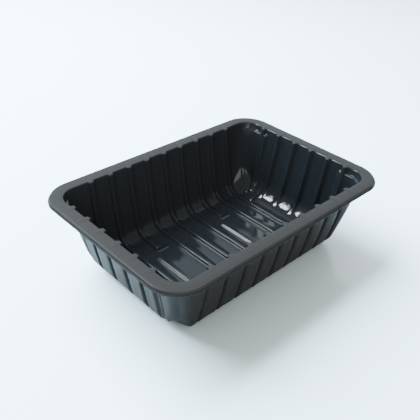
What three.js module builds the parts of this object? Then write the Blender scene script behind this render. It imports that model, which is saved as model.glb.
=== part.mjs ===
// A shallow food tray, thermoformed from one sheet of black plastic.
// Millimetres, +Z up, X along the tray, Y across it. The origin is under the middle of the tray,
// level with the edges of the floor, which it stands on.

import * as THREE from "three";

// --- Driving sizes ---
const LENGTH = 195;
const WIDTH = 135;
const HEIGHT = 54;
const SHEET = 0.6;

// --- Rim: a flat flange with its outer edge rolled down into a skirt with a small lip ---
// The section runs from the flange's top round the lip to its underside, as [outward, up]
// from the outer edge of the flat.
const LIP_REACH = 1.65;
const RIM_SECTION = [
  [0, 0],
  [0.55, -0.2],
  [0.8, -0.7],
  [0.9, -1.85],
  [LIP_REACH, -1.95],
  [LIP_REACH, -2.45],
  [0.35, -2.45],
  [0.2, -0.95],
  [-0.2, -SHEET],
];
const RIM_CORNER = 19.7;

// --- Flutes: ribs on one grid that run down the long walls and across the floor, and down the ends ---
const PITCH = 15.55;
const LONG_WALL_RIBS = 9;
const SHORT_WALL_RIBS = 6;
const RIB_BASE = 2.5;
const RIB_TOP = 1.2;
const WALL_RIB_HEIGHT = 2.1;
const FLOOR_RIB_HEIGHT = 1.8;

// --- Walls: each leans in, a little more towards its foot, and meets the floor in a foot curve ---
// The floor takes over from the foot curve where its face has tipped up to `seam`.
const MOUTH_ROUNDING = 1;
const SHORT_WALL = {
  mouth: 88.7,
  mouthDraft: THREE.MathUtils.degToRad(10),
  footDraft: THREE.MathUtils.degToRad(12.5),
  footRadius: 18,
  swollenRadius: 20,
  seam: THREE.MathUtils.degToRad(65),
  footLift: 0,
  corner: { mouth: 12.6, foot: 12.6, seam: 6 },
};
const LONG_WALL = {
  mouth: 58.7,
  mouthDraft: THREE.MathUtils.degToRad(6),
  footDraft: THREE.MathUtils.degToRad(14),
  footRadius: 12,
  swollenRadius: 30,
  seam: THREE.MathUtils.degToRad(90),
  footLift: FLOOR_RIB_HEIGHT,
  corner: { mouth: 12.6, foot: 10, seam: 4 },
};

// In a corner the foot curve swells to its `swollenRadius`, and the seam flattens.
const SEAM_FLATNESS = 0.2;

// --- Stacking ledges: a step in the wall round each corner, reaching a little way along the ends ---
const LEDGE_DEPTH = 4.4;
const LEDGE_DROP = 0.6;
const LEDGE_WIDTH = 1.7;
const LEDGE_OVERRUN = 1;
const LEDGE_RUNOUT = 1.5;
const LEDGE_FULL_UNTIL = THREE.MathUtils.degToRad(40);
const LEDGE_GONE_AT = THREE.MathUtils.degToRad(62);

// --- Crown: the sheet arches up a little towards its middle, most at the floor and least at the flange ---
const FLOOR_CROWN = 0.3;
const FLANGE_CROWN = 0.075;

// --- Floor: two of the ribs are broken ---
// Their ends turn aside in a short leg, and a lower, broader middle stretch stands beside the line.
const FLOOR = SHEET;
const BROKEN_RIBS = [-2 * PITCH, 2 * PITCH];
const BREAK_END = 24.5;
const LEG_LENGTH = 8;
const LEG_WIDTH = 4;
const MIDDLE_END = 20;
const MIDDLE_SHIFT = -5.5;
const MIDDLE_BASE = 2.8;
const MIDDLE_TOP = 0.9;
const MIDDLE_HEIGHT = 1.1;
const END_SLOPE = 1.3;

// --- Fineness of the mesh ---
const CORNER_STEPS = 8;
const MOUTH_STEPS = 2;
const FOOT_STEPS = 5;

const FLUTE_MARGIN = 0.1;
const SAME_PLACE = 1e-6;
const QUARTER = Math.PI / 2;
const lerp = THREE.MathUtils.lerp;

const positions = [];
const triangles = [];

function addVertex(x, y, z) {
  positions.push(x, y, z);
  return positions.length / 3 - 1;
}

function addTriangle(a, b, c, flipped) {
  if (a === b || b === c || c === a) return;
  triangles.push(a, ...(flipped ? [c, b] : [b, c]));
}

// Fills the strip between two runs of vertices. Both are sorted by their keys.
function stitch(left, right, flipped = false) {
  let i = 0;
  let j = 0;
  while (i < left.length - 1 || j < right.length - 1) {
    const rightDone = j === right.length - 1;
    const leftNext = i < left.length - 1 && (rightDone || left[i + 1].key <= right[j + 1].key);
    const next = leftNext ? left[i + 1] : right[j + 1];
    addTriangle(left[i].index, right[j].index, next.index, flipped);
    if (leftNext) i += 1;
    else j += 1;
  }
}

// --- Stations: the places round the tray where a loop has a vertex ---
// Quarter q is a corner and the wall after it, anticlockwise. A station faces `out`, and its key
// grows by one along each corner and by one along each wall.

function cornerStations(q) {
  return Array.from({ length: CORNER_STEPS + 1 }, (_, step) => {
    const angle = (q + step / CORNER_STEPS) * QUARTER;
    const side = (q + 0.5) * QUARTER;
    return {
      out: [Math.cos(angle), Math.sin(angle)],
      corner: [Math.sign(Math.cos(side)), Math.sign(Math.sin(side))],
      key: 2 * q + step / CORNER_STEPS,
      rib: 0,
      ledge: ledgeInCorner(Math.cos(angle) ** 2),
      swell: Math.abs(Math.sin(2 * angle)),
    };
  });
}

// How far the ledge stands out in a corner. `share` is 1 at the end wall and 0 at the long wall.
function ledgeInCorner(share) {
  const full = Math.cos(LEDGE_FULL_UNTIL) ** 2;
  const gone = Math.cos(LEDGE_GONE_AT) ** 2;
  return THREE.MathUtils.smoothstep(share, gone, full);
}

function wallStation(q, along, rest) {
  const angle = (q + 1) * QUARTER;
  const half = q % 2 ? WIDTH / 2 : LENGTH / 2;
  return {
    out: [Math.round(Math.cos(angle)), Math.round(Math.sin(angle))],
    along,
    key: 2 * q + 1.5 + along / half / 2,
    rib: 0,
    ledge: 0,
    swell: 0,
    ...rest,
  };
}

function ribCentres(count) {
  return Array.from({ length: count }, (_, i) => (i - (count - 1) / 2) * PITCH);
}

// The flanks of a rib lean, so its outer face is a little narrower than its inner one.
function ribHalfWidths(base, top, height, skin) {
  const flank = Math.atan2(height, base - top);
  const inset = skin * Math.tan(flank / 2);
  return [base - inset, top - inset];
}

function flutedWallStations(q, skin) {
  const isEnd = q % 2 === 1;
  const centres = ribCentres(isEnd ? SHORT_WALL_RIBS : LONG_WALL_RIBS);
  const last = centres.at(-1);
  const [base, top] = ribHalfWidths(RIB_BASE, RIB_TOP, WALL_RIB_HEIGHT, skin);
  const stations = centres.flatMap((centre) => {
    const ledge = isEnd && Math.abs(centre) === last ? 1 : 0;
    const at = (offset, rib) => wallStation(q, centre + offset, { rib, ledge });
    return [at(-base, 0), at(-top, 1), at(top, 1), at(base, 0)];
  });
  if (isEnd) {
    const ledgeEnd = last - RIB_BASE - LEDGE_OVERRUN;
    [-1, 1].forEach((side) => {
      stations.push(wallStation(q, side * ledgeEnd, { ledge: 1 }));
      stations.push(wallStation(q, side * (ledgeEnd - LEDGE_RUNOUT), {}));
    });
  }
  return stations.sort((first, second) => first.along - second.along);
}

function flutedStations(skin) {
  return [0, 1, 2, 3].flatMap((q) => [...cornerStations(q), ...flutedWallStations(q, skin)]);
}

function plainStations() {
  return [0, 1, 2, 3].flatMap((q) => [...cornerStations(q), wallStation(q, 0, {})]);
}

// --- Sections: a wall as points from its foot up to its mouth ---
// A point has its reach from the tray's middle, its height, the radius of the corner there, the
// height of the ribs, the way the ribs stand out (0 inward, a quarter turn upward) and the ledge.
// `skin` is 0 for the inside face and SHEET for the outside one.

function wallSection(wall, skin, footRadius) {
  const { mouth, mouthDraft, footDraft, seam, footLift, corner } = wall;
  const mouthBottom = HEIGHT - MOUTH_ROUNDING * (1 - Math.sin(mouthDraft));
  const footTop = FLOOR + footRadius * (1 - Math.sin(footDraft));
  const mouthReach = mouth - MOUTH_ROUNDING * Math.cos(mouthDraft);
  const drop = mouthBottom - footTop;
  const slopeAt = (down) => lerp(Math.tan(mouthDraft), Math.tan(footDraft), down / drop);
  const reachAt = (down) => mouthReach - (down * (slopeAt(0) + slopeAt(down))) / 2;
  const footCentre = reachAt(drop) - footRadius * Math.cos(footDraft);
  const points = [];

  const add = (reach, height, lean, radius, rest) => {
    const outward = skin * Math.cos(lean);
    const lowered = height - skin * Math.sin(lean);
    points.push({ reach: reach + outward, height: lowered, radius: radius + outward, ...rest });
  };

  for (let step = 0; step <= FOOT_STEPS; step += 1) {
    const up = step / FOOT_STEPS;
    const lean = lerp(seam, footDraft, up);
    const curl = (Math.cos(lean) - Math.cos(seam)) / (Math.cos(footDraft) - Math.cos(seam));
    const reach = footCentre + footRadius * Math.cos(lean);
    const height = FLOOR + footRadius * (1 - Math.sin(lean));
    const lift = lerp(footLift, WALL_RIB_HEIGHT, up);
    const radius = lerp(corner.seam, corner.foot, curl);
    const ease = Math.sin(up * QUARTER);
    add(reach, height, lean, radius, { lift, push: lean, ledge: up, ease });
  }

  // On the outside the ledge lies lower, so that the sheet keeps its thickness there.
  const ledgeSlope = Math.atan2(LEDGE_DROP, LEDGE_WIDTH);
  const lower = skin * Math.tan((QUARTER - ledgeSlope) / 2);
  const ledgeTop = HEIGHT - LEDGE_DEPTH - lower;
  const levels = [
    { height: lerp(footTop, mouthBottom, 1 / 3), ledge: 1 },
    { height: lerp(footTop, mouthBottom, 2 / 3), ledge: 1 },
    { height: ledgeTop - LEDGE_DROP, ledge: 1 },
    { height: ledgeTop, ledge: 0 },
  ];
  levels.forEach(({ height, ledge }) => {
    const down = mouthBottom - height;
    const radius = lerp(corner.mouth, corner.foot, down / drop);
    add(reachAt(down), height, Math.atan(slopeAt(down)), radius, {
      lift: WALL_RIB_HEIGHT,
      push: 0,
      ledge,
      ease: 1,
    });
  });

  for (let step = 0; step <= MOUTH_STEPS; step += 1) {
    const lean = lerp(mouthDraft, QUARTER, step / MOUTH_STEPS);
    const inward = MOUTH_ROUNDING * Math.cos(lean);
    const height = HEIGHT - MOUTH_ROUNDING * (1 - Math.sin(lean));
    const rest = { lift: WALL_RIB_HEIGHT, push: 0, ledge: 0, ease: 1 };
    add(mouth - inward, height, lean, corner.mouth - inward, rest);
  }
  return points;
}

// --- Loops: closed rows of vertices round the tray ---

// `ends` and `sides` hold the same point of the two walls' sections, plain and swollen.
function loop(stations, ends, sides) {
  return stations.map((station) => {
    const [ox, oy] = station.out;
    const [short, long] = [ends, sides].map(({ plain, swollen }) => ({
      ...plain,
      reach: lerp(plain.reach, swollen.reach, station.swell),
      height: lerp(plain.height, swollen.height, station.swell),
    }));
    const [x, y] = plan(station, short, long);
    const share = ox ** 2;
    const mix = (name) => lerp(long[name], short[name], share);
    const proud = Math.max(station.rib * mix("lift"), station.ledge * mix("ledge") * LEDGE_WIDTH);
    const inward = proud * Math.cos(mix("push"));
    const upward = proud * Math.sin(mix("push"));
    const z = mix("height") + upward;
    return { index: addVertex(x - inward * ox, y - inward * oy, z), key: station.key };
  });
}

function plan(station, short, long) {
  const [ox, oy] = station.out;
  const straightX = short.reach - short.radius;
  const straightY = long.reach - long.radius;
  if (station.corner) {
    const [sx, sy] = station.corner;
    return [sx * straightX + ox * short.radius, sy * straightY + oy * long.radius];
  }
  const [straight, ribs] = ox ? [straightY, SHORT_WALL_RIBS] : [straightX, LONG_WALL_RIBS];
  const along = gathered(station.along, straight, ribs);
  return [ox * short.reach - oy * along, oy * long.reach + ox * along];
}

// Where a wall's straight stretch is too short for its last ribs, they draw in a little.
function gathered(along, straight, ribs) {
  const last = ribCentres(ribs).at(-1);
  const start = last - PITCH / 2;
  const end = last + RIB_BASE + FLUTE_MARGIN;
  if (straight >= end || Math.abs(along) <= start) return along;
  return Math.sign(along) * (start + (Math.abs(along) - start) * (straight - start) / (end - start));
}

function closed(row) {
  return [...row, { index: row[0].index, key: row[0].key + 8 }];
}

function skinLoops(skin) {
  const stations = flutedStations(skin);
  const [ends, sides] = [SHORT_WALL, LONG_WALL].map((wall) => {
    const plain = wallSection(wall, skin, wall.footRadius);
    const swollen = wallSection(wall, skin, wall.swollenRadius);
    return plain.map((point, i) => ({ plain: point, swollen: easedIn(point, swollen[i]) }));
  });
  return ends.map((point, i) => loop(stations, point, sides[i]));
}

// The swollen curve still starts at the same height as the plain one, on a flatter corner.
function easedIn(plain, swollen) {
  return {
    reach: lerp(plain.reach - SEAM_FLATNESS * plain.radius, swollen.reach, plain.ease),
    height: lerp(plain.height, swollen.height, plain.ease),
  };
}

function rimLoops() {
  const stations = plainStations();
  const smooth = { lift: 0, push: 0, ledge: 0 };
  return RIM_SECTION.map(([outward, up]) => {
    const edge = outward - LIP_REACH;
    const point = { height: HEIGHT + up, radius: RIM_CORNER + outward, ...smooth };
    const [ends, sides] = [LENGTH, WIDTH].map((size) => {
      const plain = { ...point, reach: size / 2 + edge };
      return { plain, swollen: plain };
    });
    return loop(stations, ends, sides);
  });
}

// --- Floor: columns of vertices that run across the tray from wall to wall ---

// The lowest loop's vertices in columns from left to right, each sorted across the tray.
function columnsOf(row) {
  const points = row.map(({ index }) => {
    const [x, y] = positions.slice(3 * index, 3 * index + 2);
    return { index, key: y, x };
  });
  points.sort((first, second) => first.x - second.x);
  const columns = [];
  points.forEach((point) => {
    const column = columns.at(-1);
    if (column && point.x - column[0].x < SAME_PLACE) column.push(point);
    else columns.push([point]);
  });
  return columns.map((column) => column.sort((first, second) => first.key - second.key));
}

// One side of a broken rib's column, as [y, x, height] from the wall to the middle.
function brokenHalf(x, middleX, onCrest, onLeg) {
  const crest = onCrest ? FLOOR_RIB_HEIGHT : 0;
  const leg = onCrest || onLeg ? FLOOR_RIB_HEIGHT : 0;
  const middle = onCrest ? MIDDLE_HEIGHT : 0;
  return [
    [BREAK_END + LEG_WIDTH, x, crest],
    [BREAK_END + LEG_WIDTH - END_SLOPE, x, leg],
    [BREAK_END + END_SLOPE, x, leg],
    [BREAK_END, x, 0],
    [MIDDLE_END, middleX, 0],
    [MIDDLE_END - END_SLOPE, middleX, middle],
  ];
}

function withBreak([near, far], half, level) {
  const at = (side) => ([y, x, height]) => ({
    index: addVertex(x, side * y, level + height),
    key: side * y,
  });
  return [near, ...half.map(at(-1)), ...half.map(at(1)).reverse(), far];
}

// A broken rib's four columns, and the two that close the end of its legs.
function brokenColumns(centre, columns, skin) {
  const [base, top] = ribHalfWidths(MIDDLE_BASE, MIDDLE_TOP, MIDDLE_HEIGHT, skin);
  const level = FLOOR - skin;
  const middles = [-base, -top, top, base].map((offset) => centre + MIDDLE_SHIFT + offset);
  const own = columns.map((column, i) => {
    const onCrest = i === 1 || i === 2;
    return withBreak(column, brokenHalf(column[0].x, middles[i], onCrest, i === 3), level);
  });
  const legEnd = centre + LEG_LENGTH - (RIB_BASE - columns[3][0].x + centre);
  const legs = [legEnd - END_SLOPE, legEnd].map((x, i) =>
    withBreak(columns[3], brokenHalf(x, x, false, i === 0).slice(0, 4), level),
  );
  return [...own, ...legs];
}

function floor(row, skin, flipped) {
  const columns = columnsOf(row);
  BROKEN_RIBS.forEach((centre) => {
    const first = columns.findIndex((column) => column[0].x > centre - PITCH / 2);
    columns.splice(first, 4, ...brokenColumns(centre, columns.slice(first, first + 4), skin));
  });
  for (let i = 0; i < columns.length - 1; i += 1) {
    stitch(columns[i], columns[i + 1], flipped);
  }
}

// --- The shell ---
const inside = skinLoops(0);
const outside = skinLoops(SHEET);
const shell = [...inside, ...rimLoops(), ...outside.reverse()];
for (let i = 0; i < shell.length - 1; i += 1) {
  stitch(closed(shell[i]), closed(shell[i + 1]));
}
floor(shell[0], 0, false);
floor(shell.at(-1), SHEET, true);

// --- The crown: it bends the whole shell, which then stands on the edges of its floor ---
function crownedHeight(x, y, z) {
  const arch = Math.cos((Math.PI * x) / LENGTH) * Math.cos((Math.PI * y) / WIDTH);
  return z + arch * lerp(FLOOR_CROWN, FLANGE_CROWN, z / HEIGHT);
}

// The bent shell is set back to its full height, with its lowest edge level with the origin.
function crown(place) {
  const heights = Array.from({ length: place.count }, (_, i) =>
    crownedHeight(place.getX(i), place.getY(i), place.getZ(i)),
  );
  const lowest = Math.min(...heights);
  const scale = HEIGHT / (Math.max(...heights) - lowest);
  heights.forEach((height, i) => place.setZ(i, (height - lowest) * scale));
}

const geometry = new THREE.BufferGeometry();
const place = new THREE.Float32BufferAttribute(positions, 3);
geometry.setAttribute("position", place);
geometry.setIndex(triangles);
crown(place);
geometry.computeVertexNormals();

const blackPlastic = new THREE.MeshStandardMaterial({
  color: 0x1c1e20,
  roughness: 0.4,
  metalness: 0,
});

const tray = new THREE.Mesh(geometry, blackPlastic);
tray.name = "tray";

const group = new THREE.Group();
group.add(tray);
export default group;
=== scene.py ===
import math
from dataclasses import dataclass, replace

import bpy
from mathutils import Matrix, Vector


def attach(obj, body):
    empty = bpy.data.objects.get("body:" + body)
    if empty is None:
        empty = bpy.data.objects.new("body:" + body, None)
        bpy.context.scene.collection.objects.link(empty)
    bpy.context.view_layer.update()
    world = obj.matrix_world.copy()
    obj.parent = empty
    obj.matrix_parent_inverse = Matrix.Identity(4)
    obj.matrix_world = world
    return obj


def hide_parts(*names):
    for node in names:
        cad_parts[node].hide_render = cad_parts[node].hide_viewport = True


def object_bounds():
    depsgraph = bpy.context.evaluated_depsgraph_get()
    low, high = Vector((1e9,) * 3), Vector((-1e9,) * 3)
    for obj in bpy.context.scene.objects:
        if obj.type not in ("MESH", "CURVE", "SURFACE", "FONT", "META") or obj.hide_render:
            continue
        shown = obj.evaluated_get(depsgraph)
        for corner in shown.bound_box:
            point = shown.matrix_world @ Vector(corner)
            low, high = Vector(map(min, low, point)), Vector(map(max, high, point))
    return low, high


# A shallow food tray, thermoformed from one sheet of black plastic.
# The tray's sizes are in millimetres, and its meshes and the scene are in metres.
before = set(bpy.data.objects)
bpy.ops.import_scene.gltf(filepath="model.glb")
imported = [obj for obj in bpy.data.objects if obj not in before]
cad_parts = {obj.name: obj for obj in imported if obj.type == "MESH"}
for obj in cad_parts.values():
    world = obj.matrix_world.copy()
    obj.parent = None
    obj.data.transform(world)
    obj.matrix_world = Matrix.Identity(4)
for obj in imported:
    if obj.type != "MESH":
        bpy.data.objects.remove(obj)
CAD_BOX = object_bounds()
MM = 0.001
QUARTER = math.pi / 2

# --- Driving sizes ---
LENGTH, WIDTH, HEIGHT = ((high - low) / MM for low, high in zip(*CAD_BOX))
SHEET = 0.6

# --- Rim: the flange's edge is rolled down into a skirt, and its end turns out into a lip ---
LIP_REACH = 1.65
SHOULDER = 0.85
SKIRT_REACH = 0.9
LIP_DEPTH = 1.9
LIP_BEND = 0.3
RIM_CORNER = 19.7

# --- Flutes ---
PITCH = 15.55
LONG_WALL_RIBS = 9
SHORT_WALL_RIBS = 6
RIB_BASE = 2.4
RIB_TOP = 1.2
PANEL_BOW = 0.15
WALL_RIB_HEIGHT = 2.1
FLOOR_RIB_HEIGHT = 1.8

# --- Ledges and mouth ---
MOUTH_ROUNDING = 1
LEDGE_DEPTH = 4.15
LEDGE_WIDTH = 1.7
LEDGE_SLOPE = math.radians(19)
LEDGE_ROUNDING = 0.55
LEDGE_OVERRUN = 1
LEDGE_RUNOUT = 1.5
LEDGE_FULL_UNTIL = math.cos(math.radians(40)) ** 2
LEDGE_GONE_AT = math.cos(math.radians(62)) ** 2
SEAM_FLATNESS = 0.2

# --- Broken floor ribs: the second ones from the middle ---
BROKEN_RIB = 2
BREAK_END = 24.5
LEG_LENGTH = 8
LEG_WIDTH = 4
MIDDLE_END = 20
MIDDLE_SHIFT = -5.5
MIDDLE_BASE = 2.4
MIDDLE_TOP = 1.0
MIDDLE_HEIGHT = 1.1
END_SLOPE = 1.3

# Where the whole ribs' height is less than this, the sheet counts as free of them.
LEAST_LIFT = 0.6

# --- Fineness ---
CORNER_STEPS = 14
FLANK_STEPS = 5
PANEL_STEPS = 3
FOOT_STEPS = 9
WALL_STEPS = 5
BEND_STEPS = 3
ROUND_STEPS = 5
APRON_STEPS = 4
SLOPE_STEPS = 3
SAME_PLACE = 0.12


@dataclass
class Wall:
    """One pair of walls: its reach at the mouth, its leans, its foot's curves and its corners' radii."""

    mouth: float
    mouth_draft: float
    foot_draft: float
    foot_radius: float
    swollen_radius: float
    seam: float
    foot_lift: float
    mouth_corner: float
    foot_corner: float
    seam_corner: float


@dataclass
class Level:
    """One height on a wall: how far out it is, how high, its corner radius and what stands on it."""

    reach: float
    height: float
    radius: float
    lift: float = 0
    push: float = 0
    ledge: float = 0
    ease: float = 1


SHORT_WALL = Wall(
    mouth=88.7,
    mouth_draft=math.radians(10),
    foot_draft=math.radians(12.5),
    foot_radius=18,
    swollen_radius=20,
    seam=math.radians(65),
    foot_lift=0,
    mouth_corner=12.6,
    foot_corner=12.6,
    seam_corner=6,
)
LONG_WALL = Wall(
    mouth=58.7,
    mouth_draft=math.radians(6),
    foot_draft=math.radians(14),
    foot_radius=12,
    swollen_radius=30,
    seam=QUARTER,
    foot_lift=FLOOR_RIB_HEIGHT,
    mouth_corner=12.6,
    foot_corner=10,
    seam_corner=4,
)


def lerp(a, b, share):
    """The value a share of the way from a to b."""
    return a + (b - a) * share


def smoothstep(share):
    """A share from 0 to 1 that starts and ends gently."""
    share = min(max(share, 0), 1)
    return share * share * (3 - 2 * share)


def steps(count):
    """Shares from 0 to 1 in equal steps."""
    return [step / count for step in range(count + 1)]


# --- Stations: the places round the tray where a loop has a vertex ---


def rib_centres(count):
    """The middles of a wall's ribs, from one end of it to the other."""
    return [(i - (count - 1) / 2) * PITCH for i in range(count)]


def flank(base, top):
    """Offsets from a rib's middle, from one foot over the crest to the other foot."""
    side = [lerp(base, top, share) for share in steps(FLANK_STEPS)]
    return [-offset for offset in side] + side[::-1]


def rib_inset(skin):
    """How much narrower a rib is on the sheet's outer face."""
    return skin * math.tan(math.atan2(WALL_RIB_HEIGHT, RIB_BASE - RIB_TOP) / 2)


def thinned(places):
    """Sorts the places and drops any that lie almost on the one before."""
    kept = []
    for place in sorted(places):
        if not kept or place - kept[-1] > SAME_PLACE:
            kept.append(place)
    return kept


def ribs_and_panels(count):
    """Places across a wall's ribs and on the panels between them."""
    centres = rib_centres(count)
    places = [c + offset for c in centres for offset in flank(RIB_BASE, RIB_TOP)]
    gap = PITCH - 2 * RIB_BASE
    for left in centres[:-1]:
        places += [left + RIB_BASE + gap * share for share in steps(PANEL_STEPS)[1:-1]]
    return places


def along_long_wall():
    """Places along a long wall, with those that the broken ribs need across the floor."""
    places = ribs_and_panels(LONG_WALL_RIBS)
    for broken in (-BROKEN_RIB * PITCH, BROKEN_RIB * PITCH):
        places += [broken + MIDDLE_SHIFT + offset for offset in flank(MIDDLE_BASE, MIDDLE_TOP)]
        places += [broken + LEG_LENGTH - END_SLOPE * share for share in steps(SLOPE_STEPS)]
    return thinned(places)


def along_short_wall():
    """Places along a short wall, with those that the ledges and the broken ribs need."""
    places = ribs_and_panels(SHORT_WALL_RIBS)
    for side in (-1, 1):
        for share in steps(SLOPE_STEPS):
            places.append(side * (ledge_end() - LEDGE_RUNOUT * share))
            places.append(side * (BREAK_END + END_SLOPE * share))
            places.append(side * (BREAK_END + LEG_WIDTH - END_SLOPE * share))
            places.append(side * (MIDDLE_END - END_SLOPE * share))
    return thinned(places)


def ledge_end():
    """How far from a short wall's middle its ledges end."""
    return rib_centres(SHORT_WALL_RIBS)[-1] - RIB_BASE - LEDGE_OVERRUN


@dataclass
class Station:
    """A place round the tray: its outward direction, and either its corner or its place along a wall."""

    out: tuple
    corner: tuple = None
    along: float = 0
    ledge: float = 0
    swell: float = 0


def corner_station(quarter, share):
    """A place on a corner's arc. The ledge fades and the foot swells with the angle."""
    angle = (quarter + share) * QUARTER
    middle = (quarter + 0.5) * QUARTER
    full = (math.cos(angle) ** 2 - LEDGE_GONE_AT) / (LEDGE_FULL_UNTIL - LEDGE_GONE_AT)
    return Station(
        out=(math.cos(angle), math.sin(angle)),
        corner=(math.copysign(1, math.cos(middle)), math.copysign(1, math.sin(middle))),
        ledge=smoothstep(full),
        swell=abs(math.sin(2 * angle)),
    )


def wall_station(quarter, along):
    """A place along a wall. Of the walls, only the short ones carry a ledge, near their ends."""
    angle = (quarter + 1) * QUARTER
    runout = (abs(along) - ledge_end() + LEDGE_RUNOUT) / LEDGE_RUNOUT
    ledge = smoothstep(runout) if quarter % 2 else 0
    return Station(out=(round(math.cos(angle)), round(math.sin(angle))), along=along, ledge=ledge)


def all_stations():
    """Every place round the tray, one corner and one wall after another."""
    around = []
    for quarter in range(4):
        around += [corner_station(quarter, share) for share in steps(CORNER_STEPS)]
        places = along_short_wall() if quarter % 2 else along_long_wall()
        if quarter < 2:
            places = [-along for along in reversed(places)]
        around += [wall_station(quarter, along) for along in places]
    return around


# --- Sections: a wall as levels from its foot up to its mouth ---


def ledge_bends():
    """The ledge's section from below, as the share of its width and the drop below its top."""
    turn = QUARTER - LEDGE_SLOPE
    bend = LEDGE_ROUNDING * (1 - math.cos(turn))
    flat = LEDGE_WIDTH - 2 * bend
    total = flat * math.tan(LEDGE_SLOPE) + 2 * LEDGE_ROUNDING * math.sin(turn)
    lower = [
        (LEDGE_WIDTH - LEDGE_ROUNDING * (1 - math.cos(turn * s)), total - LEDGE_ROUNDING * math.sin(turn * s))
        for s in steps(BEND_STEPS)
    ]
    upper = [
        (LEDGE_ROUNDING * (1 - math.cos(turn * s)), LEDGE_ROUNDING * math.sin(turn * s))
        for s in reversed(steps(BEND_STEPS))
    ]
    return [(width / LEDGE_WIDTH, drop) for width, drop in lower + upper]


def wall_section(wall, skin, foot_radius):
    """A wall's levels: the foot's curve, the straight with its ledge, and the mouth's rounding."""
    mouth_bottom = HEIGHT - MOUTH_ROUNDING * (1 - math.sin(wall.mouth_draft))
    foot_top = SHEET + foot_radius * (1 - math.sin(wall.foot_draft))
    mouth_reach = wall.mouth - MOUTH_ROUNDING * math.cos(wall.mouth_draft)
    drop = mouth_bottom - foot_top

    def slope(down):
        """How fast the wall draws in, this far below the mouth."""
        return lerp(math.tan(wall.mouth_draft), math.tan(wall.foot_draft), down / drop)

    def wall_reach(down):
        """How far out the inner face is, this far below the mouth."""
        return mouth_reach - down * (slope(0) + slope(down)) / 2

    def level(reach, height, lean, radius, **rest):
        """A level of the inner face, moved out by the skin's thickness square to its lean."""
        outward = skin * math.cos(lean)
        return Level(reach + outward, height - skin * math.sin(lean), radius + outward, **rest)

    foot_centre = wall_reach(drop) - foot_radius * math.cos(wall.foot_draft)
    section = []
    for up in steps(FOOT_STEPS):
        lean = lerp(wall.seam, wall.foot_draft, up)
        curl = math.cos(lean) - math.cos(wall.seam)
        curl /= math.cos(wall.foot_draft) - math.cos(wall.seam)
        section.append(level(
            foot_centre + foot_radius * math.cos(lean),
            SHEET + foot_radius * (1 - math.sin(lean)),
            lean,
            lerp(wall.seam_corner, wall.foot_corner, curl),
            lift=lerp(wall.foot_lift, WALL_RIB_HEIGHT, up),
            push=lean,
            ledge=up,
            ease=math.sin(up * QUARTER),
        ))

    ledge_top = HEIGHT - LEDGE_DEPTH - skin * math.tan((QUARTER - LEDGE_SLOPE) / 2)
    bends = ledge_bends()
    ledge_bottom = ledge_top - bends[0][1]
    heights = [(lerp(foot_top, ledge_bottom, up), 1) for up in steps(WALL_STEPS)[1:-1]]
    heights += [(ledge_top - drop_here, share) for share, drop_here in bends]
    for height, ledge in heights:
        down = mouth_bottom - height
        section.append(level(
            wall_reach(down),
            height,
            math.atan(slope(down)),
            lerp(wall.mouth_corner, wall.foot_corner, down / drop),
            lift=WALL_RIB_HEIGHT,
            ledge=ledge,
        ))

    for up in steps(ROUND_STEPS):
        lean = lerp(wall.mouth_draft, QUARTER, up)
        inward = MOUTH_ROUNDING * math.cos(lean)
        section.append(level(
            wall.mouth - inward,
            HEIGHT - MOUTH_ROUNDING * (1 - math.sin(lean)),
            lean,
            wall.mouth_corner - inward,
            lift=WALL_RIB_HEIGHT,
        ))
    return section


def eased_in(plain, swollen):
    """The swollen curve starts at the same height as the plain one, on a flatter corner."""
    start = plain.reach - SEAM_FLATNESS * plain.radius
    return replace(
        plain,
        reach=lerp(start, swollen.reach, plain.ease),
        height=lerp(plain.height, swollen.height, plain.ease),
    )


def rim_section():
    """The sheet's edge from the flange's top to the lip's end and back underneath."""
    turns = [QUARTER * share for share in steps(ROUND_STEPS)]
    shoulder = [(SHOULDER * math.sin(t), SHOULDER * (math.cos(t) - 1)) for t in turns]
    bend_x, bend_z = SKIRT_REACH + LIP_BEND, LIP_BEND - LIP_DEPTH
    turns = [QUARTER * share for share in steps(BEND_STEPS)]
    bend = [(bend_x - LIP_BEND * math.cos(t), bend_z - LIP_BEND * math.sin(t)) for t in turns]
    lip = [(LIP_REACH, -LIP_DEPTH), (LIP_REACH, -LIP_DEPTH - SHEET)]
    outer = LIP_BEND + SHEET
    under = [(bend_x - outer * math.cos(t), bend_z - outer * math.sin(t)) for t in reversed(turns)]
    inner = SHOULDER - SHEET
    inside = [(inner * math.sin(t), -SHOULDER + inner * math.cos(t)) for t in reversed(turns)]
    return shoulder + bend + lip + under + inside


# --- The plain shell ---
SHAPE_MARKS = ("across", "inset", "lift", "ledge", "panel")


class Shell:
    """Faces, and vertices with the marks that the node trees and the plastic read."""

    def __init__(self):
        self.places, self.faces = [], []
        self.marks = {name: [] for name in (*SHAPE_MARKS, "inside")}
        self.inward = []

    def add(self, place, inward=(0, 0, 0), **marks):
        """Adds a vertex at a place in millimetres and returns its number."""
        self.places.append([value * MM for value in place])
        self.inward.append(inward)
        for name, values in self.marks.items():
            values.append(float(marks.get(name, 0)))
        return len(self.places) - 1

    def bridge(self, first, second, flipped=False):
        """Faces between two rows of vertices."""
        for i in range(len(first) - 1):
            self.face([first[i], first[i + 1], second[i + 1], second[i]], flipped)

    def stitch(self, first, second, flipped=False):
        """Faces between two rows whose vertices don't match one to one."""
        i, j = 0, 0
        while i < len(first) - 1 or j < len(second) - 1:
            behind = (i + 1) * len(second) <= (j + 1) * len(first)
            if j == len(second) - 1 or (behind and i < len(first) - 1):
                self.face([first[i], first[i + 1], second[j]], flipped)
                i += 1
            else:
                self.face([first[i], second[j + 1], second[j]], flipped)
                j += 1

    def face(self, corners, flipped=False):
        """Adds a face, unless its corners fall together."""
        corners = [c for i, c in enumerate(corners) if c not in corners[:i]]
        if len(corners) > 2:
            self.faces.append(corners[::-1] if flipped else corners)


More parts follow.
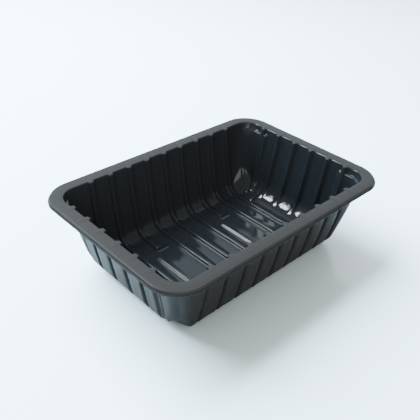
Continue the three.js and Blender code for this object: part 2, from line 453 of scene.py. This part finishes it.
def gathered(along, straight, ribs):
    """Where a wall's straight stretch is too short for its last ribs, they draw in a little."""
    last = rib_centres(ribs)[-1]
    start, end = last - PITCH / 2, last + RIB_BASE + SAME_PLACE
    if straight >= end or abs(along) <= start:
        return along
    share = (abs(along) - start) / (end - start)
    return math.copysign(lerp(start, straight, share), along)


def narrowed(along, ribs, inset):
    """Moves a place on a rib's flank towards the rib's middle."""
    phase = 0 if ribs % 2 else PITCH / 2
    offset = (along + phase + PITCH / 2) % PITCH - PITCH / 2
    if RIB_TOP - SAME_PLACE < abs(offset) < RIB_BASE + SAME_PLACE:
        return along - math.copysign(inset, offset)
    return along


def loop(shell, stations, ends, sides, inset=0.0, inside=0):
    """One row of vertices round the tray. `ends` and `sides` are the walls' levels, plain and swollen."""
    row = []
    for station in stations:
        ox, oy = station.out
        short, long = (
            replace(
                plain,
                reach=lerp(plain.reach, swollen.reach, station.swell),
                height=lerp(plain.height, swollen.height, station.swell),
            )
            for plain, swollen in (ends, sides)
        )
        share = ox * ox
        straight_x, straight_y = short.reach - short.radius, long.reach - long.radius
        lift, across = 0.0, 0.0
        if station.corner:
            sx, sy = station.corner
            x, y = sx * straight_x + ox * short.radius, sy * straight_y + oy * long.radius
        else:
            ribs, straight = (SHORT_WALL_RIBS, straight_y) if ox else (LONG_WALL_RIBS, straight_x)
            along = gathered(narrowed(station.along, ribs, inset), straight, ribs)
            x, y = ox * short.reach - oy * along, oy * long.reach + ox * along
            across = narrowed(station.along, ribs, inset) + (0 if ribs % 2 else PITCH / 2)
            lift = lerp(long.lift, short.lift, share)
        push = lerp(long.push, short.push, share)
        row.append(shell.add(
            (x, y, lerp(long.height, short.height, share)),
            across=across,
            inset=inset,
            inside=inside,
            lift=lift,
            ledge=station.ledge * lerp(long.ledge, short.ledge, share) * LEDGE_WIDTH,
            inward=(-ox * math.cos(push), -oy * math.cos(push), math.sin(push)),
        ))
    return row


def skin_rows(shell, stations, skin):
    """The rows of the sheet's inner face, or of its outer face a skin's thickness away."""
    inset = rib_inset(skin)
    pairs = []
    for wall in (SHORT_WALL, LONG_WALL):
        plain = wall_section(wall, skin, wall.foot_radius)
        swollen = wall_section(wall, skin, wall.swollen_radius)
        pairs.append([(level, eased_in(level, other)) for level, other in zip(plain, swollen)])
    return [loop(shell, stations, ends, sides, inset, skin == 0) for ends, sides in zip(*pairs)]


def rim_rows(shell, stations):
    """The rows round the sheet's rolled edge."""
    rows = []
    for outward, up in rim_section():
        edge = outward - LIP_REACH
        point = Level(0, HEIGHT + up, RIM_CORNER + outward)
        ends, sides = (replace(point, reach=size / 2 + edge) for size in (LENGTH, WIDTH))
        rows.append(loop(shell, stations, (ends, ends), (sides, sides)))
    return rows


def floor_panel(shell, row, skin, flipped):
    """Fills the lowest loop: a grid between the long walls, an apron at each end and the corners."""
    inset = rib_inset(skin)
    lengths = [CORNER_STEPS + 1, len(along_long_wall()), CORNER_STEPS + 1, len(along_short_wall())] * 2
    runs, start = [], 0
    for length in lengths:
        runs.append(row[start:start + length])
        start += length
    corners = runs[::2]
    back, left, front, right = runs[1][::-1], runs[3][::-1], runs[5], runs[7]
    foot_centre = shell.places[right[0]][0] / MM - (SHORT_WALL.foot_radius + skin) * math.cos(SHORT_WALL.seam)

    def apron_height(x):
        """The short wall's foot curve, carried on towards the flat."""
        radius = SHORT_WALL.foot_radius + skin
        inward = min(max((abs(x) - foot_centre) / radius, 0), 1)
        return SHEET - skin + radius * (1 - math.sqrt(1 - inward * inward))

    xs = [shell.places[v][0] / MM for v in front]
    marks = [shell.marks["across"][v] for v in front]
    seam = shell.places[right[0]][0] / MM
    aprons = [lerp(xs[-1], seam, share) for share in steps(APRON_STEPS)[1:-1]]
    xs = [-x for x in reversed(aprons)] + xs + aprons
    marks = [0.0] * len(aprons) + marks + [0.0] * len(aprons)
    grid = []
    for v in right:
        y = shell.places[v][1] / MM
        line = []
        for x, across in zip(xs, marks):
            whole = across and abs(abs(across) - BROKEN_RIB * PITCH) > PITCH / 2
            line.append(shell.add(
                (x, y, apron_height(x)),
                across=across,
                inset=inset,
                inside=skin == 0,
                lift=FLOOR_RIB_HEIGHT if whole or x == xs[len(xs) // 2] else 0,
                panel=1,
                inward=(0, 0, 1),
            ))
        grid.append(line)
    for first, second in zip(grid, grid[1:]):
        shell.bridge(first, second, flipped)
    edge = len(aprons)
    shell.bridge(front, grid[0][edge:-edge], flipped)
    shell.bridge(grid[-1][edge:-edge], back, flipped)
    shell.bridge([line[-1] for line in grid], right, not flipped)
    shell.bridge([line[0] for line in grid], left, flipped)
    east, west = slice(-1, -edge - 2, -1), slice(0, edge + 1)
    shell.stitch(grid[-1][east], [right[-1]] + corners[0] + [back[-1]], not flipped)
    shell.stitch(grid[-1][west], [left[-1]] + corners[1][::-1] + [back[0]], flipped)
    shell.stitch(grid[0][west], [left[0]] + corners[2] + [front[0]], not flipped)
    shell.stitch(grid[0][east], [right[0]] + corners[3][::-1] + [front[-1]], flipped)


def plain_shell():
    """The closed sheet before its ribs, ledges and bowed panels are raised."""
    shell = Shell()
    stations = all_stations()
    inside = skin_rows(shell, stations, 0)
    rim = rim_rows(shell, stations)
    outside = skin_rows(shell, stations, SHEET)
    rows = inside + rim + outside[::-1]
    for first, second in zip(rows, rows[1:]):
        shell.bridge(first + first[:1], second + second[:1], True)
    floor_panel(shell, inside[0], 0, False)
    floor_panel(shell, outside[0], SHEET, True)
    mesh = bpy.data.meshes.new("plain_shell")
    mesh.from_pydata(shell.places, [], shell.faces)
    for name, values in shell.marks.items():
        mesh.attributes.new(name, "FLOAT", "POINT").data.foreach_set("value", values)
    flat = [value for direction in shell.inward for value in direction]
    mesh.attributes.new("inward", "FLOAT_VECTOR", "POINT").data.foreach_set("vector", flat)
    return mesh


# --- Node trees ---


class Wire:
    """An output socket. Arithmetic on it adds Math nodes to its tree."""

    def __init__(self, net, socket):
        self.net = net
        self.socket = socket

    def math(self, operation, *values):
        """Adds one Math node."""
        return self.net.add("ShaderNodeMath", {"operation": operation}, values)

    def __add__(self, other):
        return self.math("ADD", self, other)

    __radd__ = __add__

    def __sub__(self, other):
        return self.math("SUBTRACT", self, other)

    def __rsub__(self, other):
        return self.math("SUBTRACT", other, self)

    def __mul__(self, other):
        return self.math("MULTIPLY", self, other)

    __rmul__ = __mul__

    def __truediv__(self, other):
        return self.math("DIVIDE", self, other)

    def __rtruediv__(self, other):
        return self.math("DIVIDE", other, self)

    def __mod__(self, other):
        return self.math("FLOORED_MODULO", self, other)

    def __abs__(self):
        return self.math("ABSOLUTE", self)

    def __lt__(self, other):
        return self.math("LESS_THAN", self, other)

    def sign(self):
        """Minus one, nought or one."""
        return self.math("SIGN", self)

    def most(self, other):
        """The larger of two values."""
        return self.math("MAXIMUM", self, other)


class Net:
    """A node tree being built."""

    def __init__(self, tree):
        self.tree = tree

    def add(self, kind, settings, inputs, output=0):
        """Adds a node, sets it up, and gives its sockets their values or links."""
        node = self.tree.nodes.new(kind)
        for name, value in settings.items():
            setattr(node, name, value)
        named = inputs.items() if isinstance(inputs, dict) else enumerate(inputs)
        for key, value in named:
            if isinstance(value, Wire):
                self.tree.links.new(value.socket, node.inputs[key])
            else:
                node.inputs[key].default_value = value
        return Wire(self, node.outputs[output]) if node.outputs else None

    def ramp(self, value, start, end, low=0.0, high=1.0):
        """Runs smoothly from low to high as the value runs from start to end."""
        inputs = {"Value": value, "From Min": start, "From Max": end, "To Min": low, "To Max": high}
        return self.add("ShaderNodeMapRange", {"interpolation_type": "SMOOTHSTEP"}, inputs)


def field(net, name, data_type="FLOAT"):
    """Reads what the shell noted at each vertex under a name."""
    return net.add("GeometryNodeInputNamedAttribute", {"data_type": data_type}, {"Name": name})


def shape_tree(name, sizes):
    """A Geometry Nodes tree with named sizes. Returns its net, its geometry and its sizes."""
    tree = bpy.data.node_groups.new(name, "GeometryNodeTree")
    tree.interface.new_socket("Geometry", in_out="INPUT", socket_type="NodeSocketGeometry")
    for size in sizes:
        tree.interface.new_socket(size, in_out="INPUT", socket_type="NodeSocketFloat")
    tree.interface.new_socket("Geometry", in_out="OUTPUT", socket_type="NodeSocketGeometry")
    net = Net(tree)
    group = tree.nodes.new("NodeGroupInput")
    return net, Wire(net, group.outputs[0]), [Wire(net, group.outputs[size]) for size in sizes]


def raise_by(net, geometry, direction, amount):
    """Moves every vertex along a direction by an amount in millimetres."""
    offset = net.add("ShaderNodeVectorMath", {"operation": "SCALE"}, {0: direction, "Scale": amount * MM})
    return net.add("GeometryNodeSetPosition", {}, {"Geometry": geometry, "Offset": offset})


def close_tree(net, geometry, material):
    """Ends a tree with real geometry in one material."""
    real = net.add("GeometryNodeRealizeInstances", {}, [geometry])
    dressed = net.add("GeometryNodeSetMaterial", {}, {"Geometry": real, "Material": material})
    net.add("NodeGroupOutput", {}, [dressed])
    return net.tree


FLUTE_SIZES = {"Pitch": PITCH, "Rib base": RIB_BASE, "Rib top": RIB_TOP, "Panel bow": PANEL_BOW}
BREAK_SIZES = {
    "Pitch": PITCH,
    "Rib base": RIB_BASE,
    "Rib top": RIB_TOP,
    "Rib height": FLOOR_RIB_HEIGHT,
    "Break end": BREAK_END,
    "Leg length": LEG_LENGTH,
    "Leg width": LEG_WIDTH,
    "Middle end": MIDDLE_END,
    "Middle shift": MIDDLE_SHIFT,
    "Middle base": MIDDLE_BASE,
    "Middle top": MIDDLE_TOP,
    "Middle height": MIDDLE_HEIGHT,
    "End slope": END_SLOPE,
}


def flutes_tree(material):
    """Ribs on one grid down the walls and over the floor, the ledges, and walls bowed between the ribs."""
    net, geometry, (pitch, base, top, panel_bow) = shape_tree("flutes", FLUTE_SIZES)
    inset = field(net, "inset")
    half = pitch / 2
    distance = abs((field(net, "across") + half) % pitch - half)
    lift = field(net, "lift")
    rib = net.ramp(distance, base - inset, top - inset) * lift
    from_middle = (half - distance) / (half - base)
    on_panel = (base < distance) * (1 - (lift < LEAST_LIFT)) * (1 - field(net, "panel"))
    bow = (1 - from_middle * from_middle) * on_panel * panel_bow
    proud = rib.most(field(net, "ledge")) + bow
    moved = raise_by(net, geometry, field(net, "inward", "FLOAT_VECTOR"), proud)
    return close_tree(net, moved, material)


def broken_ribs_tree(material):
    """Two floor ribs whose ends turn aside in a leg, with a lower middle stretch beside the line."""
    net, geometry, sizes = shape_tree("broken_ribs", BREAK_SIZES)
    pitch, base, top, rib_height, break_end, leg_length, leg_width, *middle = sizes
    middle_end, middle_shift, middle_base, middle_top, middle_height, slope = middle
    inset = field(net, "inset")
    across = field(net, "across")
    local = across - across.sign() * pitch * BROKEN_RIB
    split = net.add("ShaderNodeSeparateXYZ", {}, [net.add("GeometryNodeInputPosition", {}, [])], output=1)
    side = abs(split) / MM
    straight = net.ramp(abs(local), base - inset, top - inset)
    straight = straight * net.ramp(side, break_end, break_end + slope)
    leg = net.ramp(local, inset - base, inset - top) * net.ramp(local, leg_length, leg_length - slope)
    leg = leg * net.ramp(side, break_end, break_end + slope)
    leg = leg * net.ramp(side, break_end + leg_width, break_end + leg_width - slope)
    stretch = net.ramp(abs(local - middle_shift), middle_base - inset, middle_top - inset)
    stretch = stretch * net.ramp(side, middle_end, middle_end - slope)
    height = (straight.most(leg) * rib_height).most(stretch * middle_height)
    height = height * (abs(local) < pitch) * field(net, "panel")
    bare = field(net, "lift") < LEAST_LIFT
    moved = raise_by(net, geometry, (0, 0, 1), height * bare)
    return close_tree(net, moved, material)


def shaped(name, mesh, trees):
    """Runs a mesh through Geometry Nodes and keeps the result as a plain mesh on a new object."""
    rough = bpy.data.objects.new(name + "_plain", mesh)
    bpy.context.scene.collection.objects.link(rough)
    for tree, sizes in trees:
        modifier = rough.modifiers.new(tree.name, "NODES")
        modifier.node_group = tree
        for item in tree.interface.items_tree:
            if item.in_out == "INPUT" and item.name in sizes:
                modifier[item.identifier] = float(sizes[item.name])
    graph = bpy.context.evaluated_depsgraph_get()
    result = bpy.data.meshes.new_from_object(rough.evaluated_get(graph))
    rough.modifiers.clear()
    bpy.data.objects.remove(rough)
    result.name = name
    piece = bpy.data.objects.new(name, result)
    bpy.context.scene.collection.objects.link(piece)
    return piece


# --- Materials: heights in millimetres ---
OUTSIDE_SHADE = (0.0048, 0.0044, 0.0043, 1)
INSIDE_SHADE = (0.0046, 0.0052, 0.0057, 1)
# The flange's colour is lighter than the walls'. This is partly its matt grain and partly a painted sheen for
# the light that grain scatters.
FLANGE_SHADE_AND_SHEEN = (0.0062, 0.0053, 0.0049, 1)
SHADE_DRIFT = 0.16
OUTSIDE_ROUGHNESS = 0.56
INSIDE_ROUGHNESS = 0.08
FLANGE_ROUGHNESS = 0.5
ROUGHNESS_DRIFT = 0.05
PLASTIC_IOR = 1.2
FLANGE_STARTS = HEIGHT - 0.4
FLANGE_FULL = HEIGHT - 0.1
CLOUD_SCALE = 40.0
GRAIN_SCALE = 2600.0
GRAIN_HEIGHT = 0.5
GRAIN_STRENGTH = 0.25
GRAIN_DEPTH = 0.02
TABLE_SHADE = (0.80, 0.88, 0.90, 1)
TABLE_ROUGHNESS = 0.14
TABLE_IOR = 1.45
SHARP_EDGE = math.radians(50)


def new_material(name):
    """An empty material and its net."""
    material = bpy.data.materials.new(name)
    material.use_nodes = True
    material.node_tree.nodes.clear()
    return material, Net(material.node_tree)


def black_plastic():
    """Formed black sheet: glossy inside, satin outside, with a matt grained flange whose lighter colour is
    partly a painted sheen.
    """
    material, net = new_material("black_plastic")
    place = net.add("ShaderNodeTexCoord", {}, [], output="Object")
    height = net.add("ShaderNodeSeparateXYZ", {}, [place], output=2)
    flange = net.ramp(height, FLANGE_STARTS * MM, FLANGE_FULL * MM)
    grain = net.add("ShaderNodeTexNoise", {}, {"Vector": place, "Scale": GRAIN_SCALE, "Detail": 3.0})
    cloud = net.add("ShaderNodeTexNoise", {}, {"Vector": place, "Scale": CLOUD_SCALE, "Detail": 2.0})
    inside = net.add("ShaderNodeAttribute", {"attribute_name": "inside"}, [], output="Fac")
    shade = net.add("ShaderNodeMix", {"data_type": "RGBA"}, {
        "Factor": inside,
        "A": OUTSIDE_SHADE,
        "B": INSIDE_SHADE,
    }, output=2)
    # On the flange the colour turns lighter: a painted sheen over its matt grain, which drifts at random with
    # the cloud.
    tone = net.add("ShaderNodeMix", {"data_type": "RGBA"}, {
        "Factor": flange * (1 - SHADE_DRIFT / 2 + SHADE_DRIFT * cloud),
        "A": shade,
        "B": FLANGE_SHADE_AND_SHEEN,
    }, output=2)
    walls = net.ramp(inside, 0.0, 1.0, OUTSIDE_ROUGHNESS, INSIDE_ROUGHNESS)
    rough = walls + flange * (FLANGE_ROUGHNESS - walls) + ROUGHNESS_DRIFT * (cloud - 0.5)
    bump = net.add("ShaderNodeBump", {}, {
        "Height": grain * flange * GRAIN_HEIGHT,
        "Strength": GRAIN_STRENGTH,
        "Distance": GRAIN_DEPTH * MM,
    })
    shader = net.add("ShaderNodeBsdfPrincipled", {}, {
        "Base Color": tone,
        "Roughness": rough,
        "Normal": bump,
        "IOR": PLASTIC_IOR,
    })
    net.add("ShaderNodeOutputMaterial", {}, {"Surface": shader})
    return material


def table_top():
    """The pale, slightly glossy table."""
    material, net = new_material("pale_table")
    shader = net.add("ShaderNodeBsdfPrincipled", {}, {
        "Base Color": TABLE_SHADE,
        "Roughness": TABLE_ROUGHNESS,
        "IOR": TABLE_IOR,
    })
    net.add("ShaderNodeOutputMaterial", {}, {"Surface": shader})
    return material


# --- The stage: metres, degrees and watts, and the lens in millimetres ---
CAMERA_PLACE = (-0.2379, -0.2290, 0.2564)
CAMERA_TURN = (55.968, -2.473, -43.494)
CAMERA_LENS = 50.12
FLOOR_SIZE = 6
AIM = Vector((0, 0, 0.03))
PANE_SIZE = (0.130, 0.190)
PANE_PITCH = (0.145, 0.210)
PANE_POWERS = (16, 3)
SKY_COLOUR = (0.92, 1.0, 0.98)
SKY_STRENGTH = 1.15


def make_camera():
    """The camera, high up outside the tray's corner at low X and low Y."""
    camera = bpy.data.objects.new("camera", bpy.data.cameras.new("camera"))
    camera.data.lens = CAMERA_LENS
    camera.data.clip_start = 0.01
    camera.location = CAMERA_PLACE
    camera.rotation_euler = [math.radians(turn) for turn in CAMERA_TURN]
    bpy.context.scene.collection.objects.link(camera)
    bpy.context.scene.camera = camera


def make_floor():
    """The table, level with the underside of the tray."""
    half = FLOOR_SIZE / 2
    corners = [(-half, -half, 0), (half, -half, 0), (half, half, 0), (-half, half, 0)]
    mesh = bpy.data.meshes.new("table")
    mesh.from_pydata(corners, [], [(0, 1, 2, 3)])
    mesh.materials.append(table_top())
    floor = bpy.data.objects.new("table", mesh)
    bpy.context.scene.collection.objects.link(floor)


def make_light(name, direction, distance, size, power, colour=(1, 1, 1), mirrored=False):
    """A soft rectangular light that looks at the tray from a direction."""
    light = bpy.data.lights.new(name, "AREA")
    light.shape = "RECTANGLE"
    light.size, light.size_y = size
    light.energy = power
    light.color = colour
    lamp = bpy.data.objects.new(name, light)
    away = Vector(direction).normalized()
    lamp.location = AIM + away * distance
    lamp.rotation_mode = "QUATERNION"
    lamp.rotation_quaternion = away.to_track_quat("Z", "Y")
    lamp.visible_glossy = mirrored
    bpy.context.scene.collection.objects.link(lamp)
    return lamp


def make_panes(direction, distance):
    """A small window of two panes over two dimmer ones, seen in mirror images alone."""
    for row, power in enumerate(PANE_POWERS):
        for side in (-0.5, 0.5):
            name = f"pane_{row}_{side > 0:d}"
            pane = make_light(name, direction, distance, PANE_SIZE, power, mirrored=True)
            shift = Vector((side * PANE_PITCH[0], (0.5 - row) * PANE_PITCH[1], 0))
            pane.location += pane.rotation_quaternion @ shift
            pane.visible_diffuse = False


def make_world(colour, strength):
    """An even sky."""
    world = bpy.data.worlds.new("studio")
    world.use_nodes = True
    world.node_tree.nodes.clear()
    net = Net(world.node_tree)
    sky = net.add("ShaderNodeBackground", {}, {"Color": (*colour, 1), "Strength": strength})
    net.add("ShaderNodeOutputWorld", {}, {"Surface": sky})
    bpy.context.scene.world = world


make_camera()
make_floor()
make_world(SKY_COLOUR, SKY_STRENGTH)
make_light(
    "back_card",
    direction=(0.52, 0.74, 0.62),
    distance=1.6,
    size=(2.4, 1.4),
    power=25,
    colour=(0.85, 1, 1.1),
    mirrored=True,
)
make_light(
    "key",
    direction=(-0.12, 0.70, 0.70),
    distance=1.0,
    size=(1.0, 1.0),
    power=132,
    colour=(0.72, 0.98, 1.2),
)
make_panes(direction=(-0.45, 0.585, 0.68), distance=0.9)
front_card = make_light(
    "front_card",
    direction=(-0.64, -0.70, 0.40),
    distance=1.2,
    size=(0.6, 0.5),
    power=8,
    mirrored=True,
)
front_card.visible_diffuse = False

# --- The tray ---
plastic = black_plastic()
tray = shaped("formed_tray", plain_shell(), [
    (flutes_tree(plastic), FLUTE_SIZES),
    (broken_ribs_tree(plastic), BREAK_SIZES),
])
tray.data.shade_smooth()
tray.data.set_sharp_from_angle(angle=SHARP_EDGE)
for mark in (*SHAPE_MARKS, "inward"):
    tray.data.attributes.remove(tray.data.attributes[mark])

# This light reaches the tray alone, so that the table keeps the tray's shadow.
only_tray = bpy.data.collections.new("only_tray")
only_tray.objects.link(tray)
fill = make_light(
    "tray_fill",
    direction=(-0.40, -0.60, 0.50),
    distance=0.55,
    size=(0.7, 0.7),
    power=19,
)
fill.light_linking.receiver_collection = only_tray
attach(tray, "root")
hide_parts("tray")
